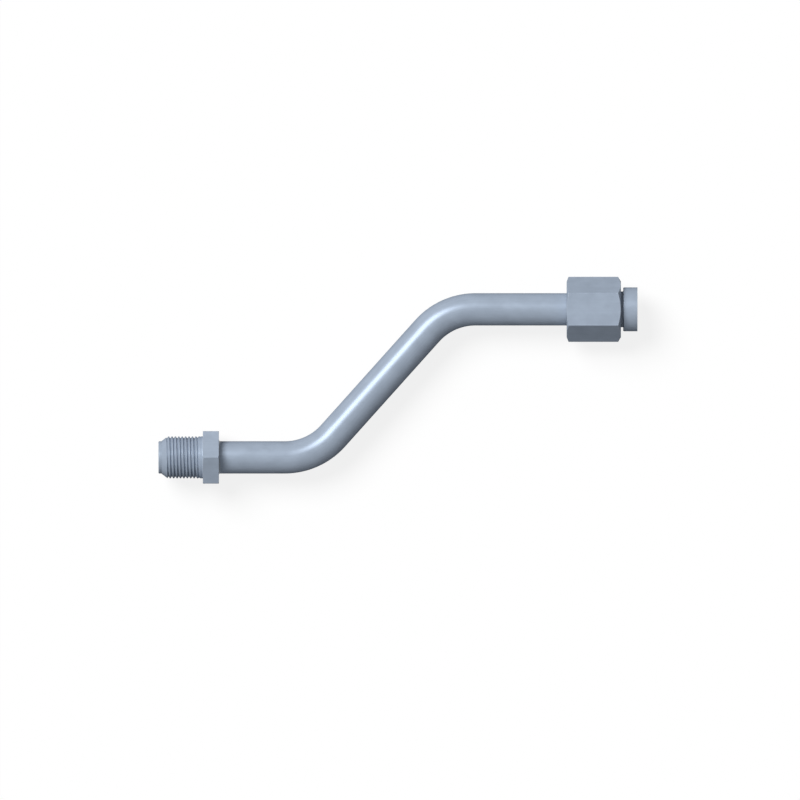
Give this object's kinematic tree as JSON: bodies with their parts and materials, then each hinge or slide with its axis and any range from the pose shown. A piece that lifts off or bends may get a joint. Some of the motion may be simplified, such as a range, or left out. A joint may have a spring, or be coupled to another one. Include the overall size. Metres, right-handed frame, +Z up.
{
  "type": "bent tube assembly",
  "caption": "Bent steel fluid line with a brazed male threaded connector at one end and a flare sleeve with a loose swivel nut at the other.",
  "frame": {"origin": "centre of the bounding box, on the surface that the line lies on", "axes": "+X along both straight ends, from the male connector to the nut; +Y from the male end's axis towards the nut's axis; +Z up, square to the plane of the bends"},
  "size_m": [0.188, 0.0812, 0.0238],
  "materials": {
    "drawn_tube": "satin",
    "turned_connector": "satin",
    "turned_sleeve": "satin",
    "nut_steel": "satin"
  },
  "bodies": {
    "tube": {"tube": "drawn_tube", "male_connector": "turned_connector"},
    "sleeve": {"sleeve": "turned_sleeve"},
    "nut": {"swivel_nut": "nut_steel"}
  },
  "joints": [
    {"name": "sleeve_spin", "type": "hinge", "parent": "tube", "child": "sleeve", "pos_m": [0.094, 0.0278, 0.01189], "axis": [1, 0, 0], "continuous": true},
    {"name": "nut_slide", "type": "slide", "parent": "sleeve", "child": "nut", "axis": [1, 0, 0], "range_m": [-0.0355, 0.0159]}
  ]
}
